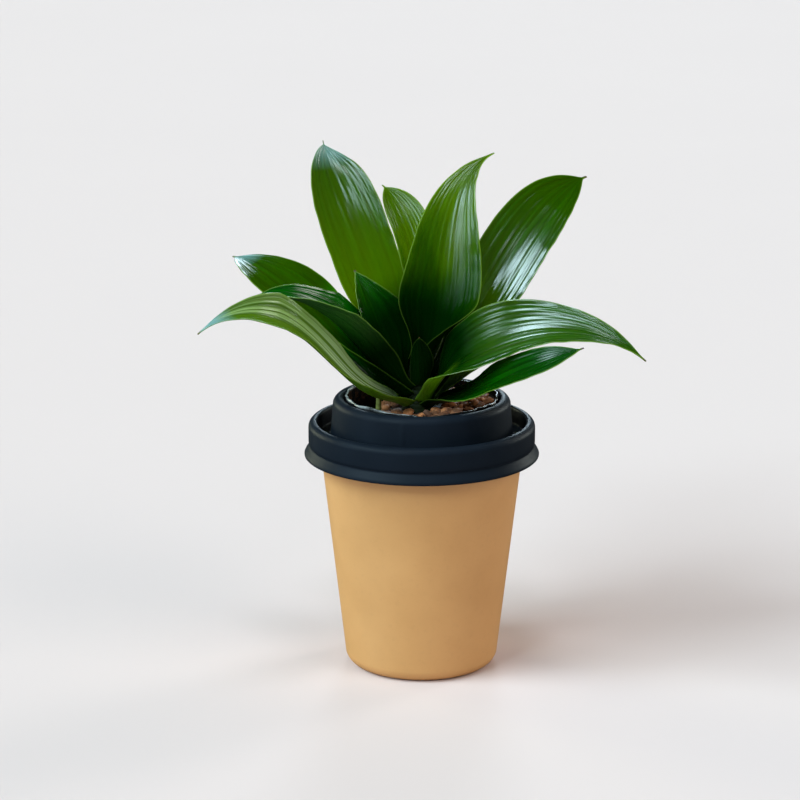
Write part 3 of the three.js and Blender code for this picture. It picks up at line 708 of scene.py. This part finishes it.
def raise_seam(angle, r, z):
    """A low vertical rib on the front of the collar, where the mould closed."""
    front = -math.pi / 2 + math.asin(SEAM_X / COLLAR_R)
    away = (angle - front + math.pi) % (2 * math.pi) - math.pi
    ridge = np.exp(-(away * COLLAR_R / SEAM_WIDTH) ** 2)
    crown = COLLAR_TOP_Z - COLLAR_ROUND
    on_wall = smooth((z - TROUGH_Z - 1) / 3) * smooth((crown + 1 - z) / 2)
    outside = (r > COLLAR_R - 0.2) & (r < COLLAR_FOOT_R + 0.1)
    return r + SEAM_PROUD * ridge * on_wall * outside, z


def make_lid(look):
    points, faces = lathe(lid_profile(), LID_SIDES, raise_seam)
    add_piece("lid_shell", points, faces, look, ["lid"])


def liner_radius(z):
    return LINER_FOOT_R + (LINER_TOP_R - LINER_FOOT_R) * z / LINER_RIM_Z


@np.vectorize
def fold_depth(angle, z):
    """How far the folds push the film in near its rim."""
    x, y = math.cos(angle), math.sin(angle)
    return sum(
        depth * abs(noise.noise(Vector((around * x, around * y, layer + z * upward))))
        for around, upward, layer, depth in FOLDS)


def crumple(angle, r, z):
    """Folds of the thin film near its rim, always inwards, and the torn rim itself."""
    below = LINER_RIM_Z + 0.5 - z
    on_wall = r > 10
    inward = fold_depth(angle, z) * smooth(1 - below / CRUMPLE_DEPTH) * on_wall
    torn = sum(height * np.sin(count * angle + start) for height, count, start in TEARS)
    return r - inward, z + torn * smooth(1 - below / TEAR_DEPTH)


def rim_highlight_share(points):
    """How strong the painted highlight on the film is at each point, only along the rim and round
    one bearing.
    """
    bearing = np.degrees(np.arctan2(points[:, 1], points[:, 0]))
    away = abs((bearing - RIM_HIGHLIGHT_BEARING + 180) % 360 - 180)
    full, end = RIM_HIGHLIGHT_REACH
    on_rim = smooth((points[:, 2] - LINER_RIM_Z + RIM_HIGHLIGHT_DROP) / RIM_HIGHLIGHT_FADE)
    return smooth((end - away) / (end - full)) * on_rim


def make_liner(look):
    heights = [*np.linspace(LINER_FOOT_Z + 2, 108, 8), *np.linspace(109, LINER_RIM_Z - 1, 22)]
    outer = [(liner_radius(z) - LINER_SLACK, z) for z in heights]
    foot_r, foot_z = outer[0][0], LINER_FOOT_Z
    profile = [(0, foot_z), (foot_r - 2, foot_z), *outer]
    profile += arc(LINER_TOP_R - RIM_BEAD, LINER_RIM_Z - 0.2, RIM_BEAD, -30, 210, 9)
    profile += [(r - LINER_FILM, z) for r, z in outer[::-1]]
    profile += [(foot_r - 2.4, foot_z + LINER_FILM), (0, foot_z + LINER_FILM)]
    points, faces = lathe(profile, LINER_SIDES, crumple)
    marks = {"rim_highlight": rim_highlight_share(points)}
    add_piece("liner_film", points, faces, look, ["liner"], marks)


def soil_height(x, y):
    """Height of the soil, lower on the left and rough all over."""
    rough = sum(
        height * noise.noise(Vector((x * pace, y * pace, layer)))
        for pace, layer, height in SOIL_LUMPS)
    dip = SOIL_DIP * smooth((SOIL_DIP_X[0] - x) / (SOIL_DIP_X[0] - SOIL_DIP_X[1]))
    return SOIL_Z + SOIL_TILT * x + rough - dip


def make_soil(look):
    top = liner_radius(SOIL_Z) - SOIL_GAP
    wall = [(liner_radius(z) - SOIL_GAP, z) for z in (SOIL_FOOT_Z + 2.5, 60, 100, 112)]
    rings = [(r, SOIL_Z) for r in np.linspace(top, 0, 34)]
    profile = [(0, SOIL_FOOT_Z), (wall[0][0] - 2.5, SOIL_FOOT_Z), *wall, *rings]
    points, faces = lathe(profile, SOIL_SIDES)
    for point in points:
        if point[2] > SOIL_Z - 1:
            point[2] = soil_height(point[0], point[1])
    add_piece("soil_bed", points, faces, look, ["soil"])


def chunk(draw, size, coarse):
    """A broken piece of bark: a ball with bulges, squared off a little and stretched."""
    ball = bmesh.new()
    bmesh.ops.create_icosphere(ball, subdivisions=1 if coarse else 2, radius=1)
    shift = Vector((draw.uniform(0, 50), draw.uniform(0, 50), draw.uniform(0, 50)))
    points = []
    for vertex in ball.verts:
        bulge = 1
        for height, pace in BARK_BULGES:
            bulge += height * noise.noise(vertex.co * pace + shift)
        blocky = Vector([math.copysign(abs(c) ** BARK_SQUARE, c) for c in vertex.co * bulge])
        points.append(Vector([c * half for c, half in zip(blocky, size)]))
    faces = [[v.index for v in face.verts] for face in ball.faces]
    ball.free()
    return points, faces


def scatter(draw, count, inner, sizes, coarse, lift):
    """Pieces strewn over the soil, clear of the stem, the liner and the hollow at the left."""
    for _ in range(count):
        size = [draw.uniform(*limits) / 2 for limits in sizes]
        reach = liner_radius(SOIL_Z) - SOIL_GAP - max(size) - BARK_GAP
        angle = draw.uniform(0, 2 * math.pi)
        radius = math.sqrt(draw.uniform(inner ** 2, reach ** 2))
        x, y = radius * math.cos(angle), radius * math.sin(angle)
        if x < SOIL_DIP_X[1]:
            continue
        turn = Matrix.Rotation(draw.uniform(0, math.pi), 3, "Z")
        tilt = Matrix.Rotation(draw.gauss(0, BARK_TILT), 3, "X")
        tilt = tilt @ Matrix.Rotation(draw.gauss(0, BARK_TILT), 3, "Y")
        place = Vector((x, y, soil_height(x, y) + size[2] * draw.uniform(*lift)))
        points, faces = chunk(draw, size, coarse)
        tone = (draw.uniform(0, 1) ** 1.3, draw.uniform(0, 1) ** 3, draw.random())
        yield [turn @ tilt @ p + place for p in points], faces, tone


def make_bark(look):
    draw = random.Random(BARK_SEED)
    points, faces, tones = [], [], []
    for layer in BARK_LAYERS:
        for own, own_faces, tone in scatter(draw, *layer):
            start = len(points)
            points += own
            faces += [[start + i for i in face] for face in own_faces]
            tones += [tone] * len(own)
    add_piece("bark", points, faces, look, marks={"tone": tones})


# ---- stem and side shoot ------------------------------------------------

def stem_radius(z):
    share = min(max((z - STEM_TAPER_Z) / (STEM_TOP_Z - STEM_TAPER_Z), 0), 1)
    return STEM_R + (STEM_TOP_R - STEM_R) * share


def make_stem(look):
    """The cane, with the scars of its fallen leaves winding up it."""
    turns = np.arange(STEM_SIDES) / STEM_SIDES
    rings = []
    for z in np.linspace(STEM_FOOT_Z, STEM_TOP_Z, STEM_RINGS):
        end = min(z - STEM_FOOT_Z, STEM_TOP_Z - z)
        radius = stem_radius(z) - STEM_SLACK
        radius -= STEM_ROUND * (1 - smooth(end / STEM_ROUND_REACH)) ** 2
        phase = (z / STEM_SCAR + turns) % 1
        scar = SCAR_DEPTH * np.exp(-((phase - 0.5) / SCAR_WIDTH) ** 2)
        rings.append(level_ring((STEM_X, 0, z), radius - scar))
    points, faces = loft(rings)
    add_piece("cane", points, faces, look, ["stem"])


def make_shoot(look):
    """The slim stalk beside the cane, bowed, fluted and jointed, with a blunt tip."""
    foot, top = np.array(SHOOT_FOOT, float), np.array(SHOOT_TOP, float)
    angle = np.arange(SHOOT_SIDES) * 2 * math.pi / SHOOT_SIDES
    flutes, height = SHOOT_FLUTES
    rings = []
    for t in np.linspace(0, 1, SHOOT_RINGS):
        centre = foot + (top - foot) * t
        centre[0] -= SHOOT_BOW * math.sin(math.pi * t)
        joint = JOINT_PROUD * math.exp(-(((t * SHOOT_JOINTS) % 1 - 0.5) / JOINT_WIDTH) ** 2)
        radius = SHOOT_R * (1 + SHOOT_SPREAD * (1 - t)) + joint
        radius *= 1 - SHOOT_TAPER * smooth((t - 0.96) / 0.04) ** 2
        rings.append(level_ring(centre, radius * (1 + height * np.cos(flutes * angle))))
    points, faces = loft(rings)
    add_piece("stalk", points, faces, look, ["side_shoot"])


# ---- leaf pieces --------------------------------------------------------

def along(values, t):
    """A smooth run through a value at the foot, the middle and the tip."""
    foot, middle, tip = values
    return foot * (1 - t) * (1 - 2 * t) + 4 * middle * t * (1 - t) + tip * t * (2 * t - 1)


def leaf_frame(leaf, t):
    """Direction of the midrib and the blade's sideways and upward directions at each t."""
    hold = max(leaf["sheath"] - leaf["rise"][0], 0) * (1 - smooth(t / SHEATH_REACH))
    turn = np.radians(along(leaf["turn"], t))
    rise = np.radians(along(leaf["rise"], t) + hold)
    roll = np.radians(along((0, *leaf["roll"]), t))[:, None]
    forward = np.stack([np.cos(rise) * np.cos(turn), np.cos(rise) * np.sin(turn), np.sin(rise)], -1)
    level = np.stack([-np.sin(turn), np.cos(turn), 0 * turn], -1)
    upright = np.cross(forward, level)
    side = level * np.cos(roll) + upright * np.sin(roll)
    up = upright * np.cos(roll) - level * np.sin(roll)
    return forward, side, up


def leaf_half_width(leaf, t):
    """Half the blade's width at each t."""
    widest, full = leaf["widest"], leaf["full"]
    grow = leaf["base"] + (1 - leaf["base"]) * smooth((t - GROW_START) / (widest - GROW_START))
    past = np.clip((t - widest) / (1 - DRIP_LENGTH * DRIP_END - widest), 0, 1)
    left = np.minimum((1 - t) / DRIP_LENGTH, 1.5) ** 1.3
    drip = (DRIP_END + (1 - DRIP_END) * left) * DRIP_WIDTH * leaf.get("drip", 1)
    return leaf["wide"] / 2 * np.hypot(grow * (1 - past ** full), drip)


def leaf_midrib(leaf):
    """Points of the midrib at the start of each row and at the tip."""
    steps = LEAF_ROWS * RIB_STEPS
    strides = leaf_frame(leaf, (np.arange(steps) + 0.5) / steps)[0] * leaf["long"] / steps
    gap = stem_radius(leaf["z"]) + LEAF_OFFSET
    turn = math.radians(leaf["turn"][0])
    foot = np.array([STEM_X + gap * math.cos(turn), gap * math.sin(turn), leaf["z"]])
    return foot + np.concatenate([np.zeros((1, 3)), np.cumsum(strides, 0)])[::RIB_STEPS]


def leaf_surface(leaf, index, t, u):
    """The middle surface of a blade, as rows of points from margin to margin."""
    half = leaf_half_width(leaf, t)[:, None]
    open_share = smooth(t / FLAT_REACH)[:, None]
    cup = np.radians(leaf["cup"][0] + (leaf["cup"][1] - leaf["cup"][0]) * t)[:, None]
    clasp = half[0] / (stem_radius(leaf["z"]) + LEAF_OFFSET)
    bend = (clasp * (1 - open_share) + cup * open_share) / half
    crease = np.radians(leaf["crease"][0] + (leaf["crease"][1] - leaf["crease"][0]) * t)
    crease = (crease * smooth(t / CREASE_REACH))[:, None]
    fold = (np.hypot(u, CREASE_ROUND) - CREASE_ROUND) / (math.hypot(1, CREASE_ROUND) - CREASE_ROUND)
    height, count = leaf["wave"]
    phase = count * t[:, None] + RIPPLE_STEP * index + np.where(u > 0, RIPPLE_SHIFT, 0)
    ripple = height * np.sin(np.pi * t)[:, None] * u ** 2 * np.sin(2 * np.pi * phase)
    across = np.sin(bend * half * u) / bend * np.cos(crease)
    lift = (1 - np.cos(bend * half * u)) / bend + fold * half * np.sin(crease) + ripple
    _, side, up = leaf_frame(leaf, t)
    points = leaf_midrib(leaf)[:, None] + side[:, None] * across[..., None]
    return points + up[:, None] * lift[..., None], half


def surface_normals(points):
    normal = np.cross(np.gradient(points, axis=0), np.gradient(points, axis=1))
    return normal / np.linalg.norm(normal, axis=-1, keepdims=True)


def fade(t, foot, tip):
    """1 along a blade, but rising from 0 over its foot and falling back to 0 over its tip."""
    return smooth(t / foot) * (1 - smooth((t - (1 - tip)) / tip))


def frill(leaf, t, u, draw):
    """Small uneven waves close to the margins, away from the foot and the tip."""
    t = t[:, None]
    waves = sum(
        draw.uniform(0.4, 1) * np.sin(2 * math.pi * count * t + draw.uniform(0, 6) + np.sign(u))
        for count in FRILLS)
    height = FRILL_HEIGHT * min(leaf["wide"] / FRILL_WIDE, 1) ** 2
    return height * waves * fade(t, *FRILL_FADE) * np.abs(u) ** 5


def pleats(t, u, half, draw):
    """Long shallow ridges beside the midrib, and the midrib's own groove."""
    t = t[:, None]
    height = np.zeros((len(t), len(u)))
    for strength, count in PLEATS:
        start, drift = draw.uniform(0, 2 * math.pi), draw.uniform(-0.9, 0.9)
        bend = 0.05 * np.sin(3 * t + start)
        height += strength * np.sin(2 * math.pi * count * (u + bend) + start + drift * 2 * t)
    height *= fade(t, *PLEAT_FADE) * (1 - np.abs(u) ** 8)
    groove = GROOVE_DEPTH * np.exp(-(u * half / GROOVE_WIDTH) ** 2) * fade(t, *GROOVE_FADE)
    return PLEAT_HEIGHT * (height - groove)


def step_out(margin, inside, thick):
    """The step of half the thickness past a margin that rounds it off."""
    away = margin - inside
    return away / np.linalg.norm(away, axis=-1, keepdims=True) * thick / 2


def blade_rings(leaf, index, t, u, draw):
    """Rings of points round a blade, and half its width at each ring."""
    points, half = leaf_surface(leaf, index, t, u)
    normal = surface_normals(points)
    relief = frill(leaf, t, u, draw) + pleats(t, u, half, draw)
    middle = points + normal * relief[..., None]
    thick = LEAF_RIB + (LEAF_EDGE - LEAF_RIB) * np.abs(u)
    thick = np.minimum(thick, 1.2 * half + 0.1)[..., None]
    upper = middle + normal * thick / 2
    lower = middle - normal * thick / 2
    left = middle[:, -1:] + step_out(points[:, -1:], points[:, -2:-1], thick[:, -1:])
    right = middle[:, :1] + step_out(points[:, :1], points[:, 1:2], thick[:, :1])
    return np.concatenate([upper, left, lower[:, ::-1], right], 1), half


def per_point(*values):
    """One row for each point of a blade, from values by ring and by place in the ring."""
    return np.stack(np.broadcast_arrays(*values), -1).reshape(-1, len(values))


def blade_marks(leaf, t, u, half, seed):
    """What the leaves' material reads at each point of a blade."""
    paint = {**PLAIN_PAINT, **LEAF_PAINT.get(leaf["name"], {})}
    across = np.concatenate([u, [1], u[::-1], [-1]])
    under = np.concatenate([0 * u, [0.5], 0 * u + 1, [0.5]])
    rim = half * (1 - np.abs(across))
    blade = per_point(across, t[:, None], rim)
    t = blade[:, 1]
    tint = np.array(paint["tint"], float)
    tip_tint = np.array(paint.get("tip_tint", tint), float)
    turned = smooth((t - TINT_TURN[0]) / (TINT_TURN[1] - TINT_TURN[0]))[:, None]
    return {
        "blade": blade,
        "tone": per_point(seed, paint["pale"], under + 0 * rim),
        "tint": tint + (tip_tint - tint) * turned,
        "gloss": np.clip(along(paint["gloss"], t), 0, PAINT_LIMIT),
        "glow": np.clip(along(paint["glow"], t), 0, PAINT_LIMIT),
        "foot": paint["foot"] + 0 * t,
        "tip_highlight": paint["tip_highlight"] + 0 * t,
    }


def make_leaf(leaf, index, look):
    draw = random.Random(LEAF_SEED + index)
    t = np.linspace(0, 1, LEAF_ROWS + 1)
    u = np.sin(np.linspace(-1, 1, LEAF_STRIPS + 1) * math.pi / 2 * STRIP_CROWDING)
    u /= u[-1]
    rings, half = blade_rings(leaf, index, t, u, draw)
    points, faces = loft(rings)
    marks = blade_marks(leaf, t, u, half, draw.random())
    add_piece("blade_" + leaf["name"], points, faces, look, [leaf["name"]], marks)


# ---- stage --------------------------------------------------------------

def make_floor():
    reach = FLOOR_REACH
    corners = [(-reach, -reach, 0), (reach, -reach, 0), (reach, reach, 0), (-reach, reach, 0)]
    mesh = bpy.data.meshes.new("floor")
    mesh.from_pydata(corners, [], [(0, 1, 2, 3)])
    mesh.materials.append(floor_look())
    floor = bpy.data.objects.new("floor", mesh)
    bpy.context.scene.collection.objects.link(floor)
    floor.visible_glossy = False


def make_world():
    world = bpy.data.worlds.new("studio")
    world.use_nodes = True
    back = world.node_tree.nodes["Background"]
    back.inputs["Color"].default_value = WORLD_COLOUR
    back.inputs["Strength"].default_value = WORLD_STRENGTH
    bpy.context.scene.world = world


def make_light(name, bearing, height, colour, strength, wide, shiny):
    lamp = bpy.data.lights.new(name, "SUN")
    lamp.color = colour
    lamp.energy = strength
    lamp.angle = math.radians(wide)
    tilt, turn = math.radians(height), math.radians(bearing)
    place = Vector((math.cos(tilt) * math.cos(turn), math.cos(tilt) * math.sin(turn),
                    math.sin(tilt)))
    holder = bpy.data.objects.new(name, lamp)
    holder.rotation_euler = place.to_track_quat("Z", "Y").to_euler()
    holder.location = place
    holder.visible_glossy = shiny
    bpy.context.scene.collection.objects.link(holder)


def make_camera():
    scene = bpy.context.scene
    view = bpy.data.cameras.new("camera")
    view.lens = CAMERA_LENS
    view.sensor_width = CAMERA_SENSOR
    camera = bpy.data.objects.new("camera", view)
    camera.location = Vector(CAMERA_PLACE) * MM
    camera.rotation_euler = (math.pi / 2 - CAMERA_PITCH, 0, 0)
    scene.collection.objects.link(camera)
    scene.camera = camera
    scene.view_settings.view_transform = "Standard"


# ---- assembly -----------------------------------------------------------

make_floor()
make_world()
for light in LIGHTS:
    make_light(*light)
make_camera()
make_cup(cup_look())
make_lid(lid_look())
make_liner(liner_look())
make_soil(soil_look())
make_bark(bark_look())
make_stem(stem_look("cane", CANE_GREENS))
make_shoot(stem_look("stalk", STALK_GREENS))
green = leaf_look()
for number, row in enumerate(LEAVES):
    make_leaf(row, number, green)
